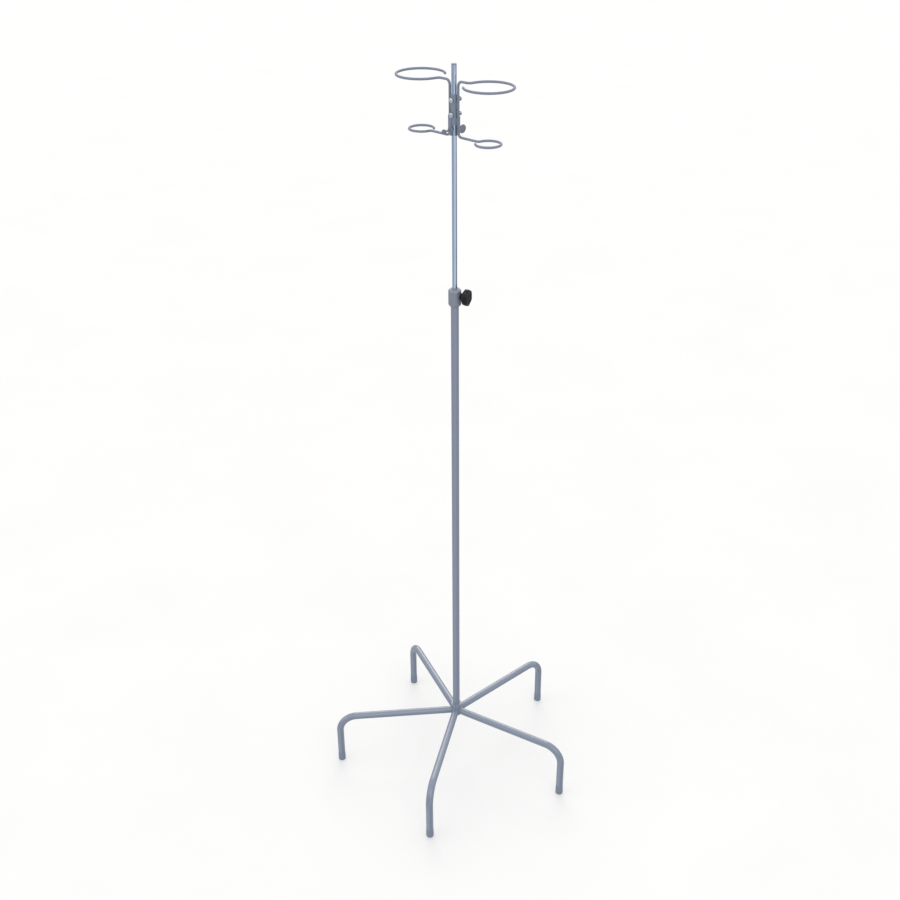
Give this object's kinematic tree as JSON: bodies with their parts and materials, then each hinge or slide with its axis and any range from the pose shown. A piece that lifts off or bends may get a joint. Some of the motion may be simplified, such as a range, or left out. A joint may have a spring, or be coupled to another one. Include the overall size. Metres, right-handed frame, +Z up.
{
  "type": "infusion stand",
  "caption": "Floor stand for infusion bottles: tube legs, fixed column, sliding inner pole with a star knob, and a head with wire bottle rings.",
  "frame": {"origin": "on the floor, on the pole's axis", "axes": "+Z up along the pole, leg 1 towards -Y"},
  "size_m": [0.6792, 0.6469, 2.033],
  "materials": {
    "painted_tube": "smooth semi-gloss powder coat",
    "foot_plastic": "moulded",
    "collar_metal": "turned and clear coated",
    "brass": "machined",
    "nylon": "moulded",
    "knob_plastic": "fine moulded grain",
    "zinc_steel": "bright zinc",
    "pole_chrome": "bright",
    "head_steel": "satin plated",
    "wire_steel": "satin chrome on drawn wire",
    "wing_metal": "dull zinc casting"
  },
  "bodies": {
    "base": {"hub_sleeve": "painted_tube", "column_tube": "painted_tube", "column_end_plug": "foot_plastic", "clamp_collar": "collar_metal", "knob_insert": "brass", "collar_guide_bush": "nylon", "leg_tube_1": "painted_tube", "leg_tube_2": "painted_tube", "leg_tube_3": "painted_tube", "leg_tube_4": "painted_tube", "leg_tube_5": "painted_tube", "foot_cap_1": "foot_plastic", "foot_cap_2": "foot_plastic", "foot_cap_3": "foot_plastic", "foot_cap_4": "foot_plastic", "foot_cap_5": "foot_plastic"},
    "knob_pad": {"knob_pad": "brass"},
    "knob": {"knob_head": "knob_plastic", "knob_stud": "zinc_steel"},
    "pole_slide": {"guide_plug": "nylon"},
    "pole": {"inner_pole": "pole_chrome", "pole_top_cap": "pole_chrome", "pole_end_insert": "zinc_steel", "pole_end_rivet": "zinc_steel"},
    "head": {"head_sleeve": "head_steel", "bottle_holder_right": "wire_steel", "bottle_holder_left": "wire_steel", "weld_pads_right": "head_steel", "weld_pads_left": "head_steel", "cheek_plate_right": "head_steel", "cheek_plate_left": "head_steel", "front_screws": "zinc_steel", "rear_nuts": "zinc_steel", "rear_screws": "zinc_steel", "lock_screw": "wing_metal"},
    "wing_pad": {"wing_pad": "brass"},
    "wing_screw": {"wing_screw": "wing_metal"}
  },
  "joints": [
    {"name": "pole_height", "type": "slide", "parent": "base", "child": "pole_slide", "axis": [0, 0, 1], "range_m": [-0.22, 0.25]},
    {"name": "pole_swivel", "type": "hinge", "parent": "pole_slide", "child": "pole", "pos_m": [0, 0, 1.1], "axis": [0, 0, 1], "continuous": true},
    {"name": "head_height", "type": "slide", "parent": "pole", "child": "head", "axis": [0, 0, 1], "range_m": [-0.095, 0.03]},
    {"name": "knob_travel", "type": "slide", "parent": "base", "child": "knob_pad", "axis": [0.9781, -0.2079, 0], "range_m": [0, 0.00251]},
    {"name": "knob_turn", "type": "hinge", "parent": "knob_pad", "child": "knob", "pos_m": [0.02934, -0.00624, 1.48], "axis": [0.9781, -0.2079, 0], "range_deg": [0, 720]},
    {"name": "wing_travel", "type": "slide", "parent": "head", "child": "wing_pad", "axis": [0.5, 0.866, 0], "range_m": [0, 0.0021]},
    {"name": "wing_turn", "type": "hinge", "parent": "wing_pad", "child": "wing_screw", "pos_m": [0.0125, 0.02165, 1.882], "axis": [0.5, 0.866, 0], "range_deg": [0, 720]}
  ],
  "couplings": [
    {"joint": "knob_travel", "follows": "knob_turn", "m_per_rad": 0.00019894},
    {"joint": "wing_travel", "follows": "wing_turn", "m_per_rad": 0.00015915}
  ]
}
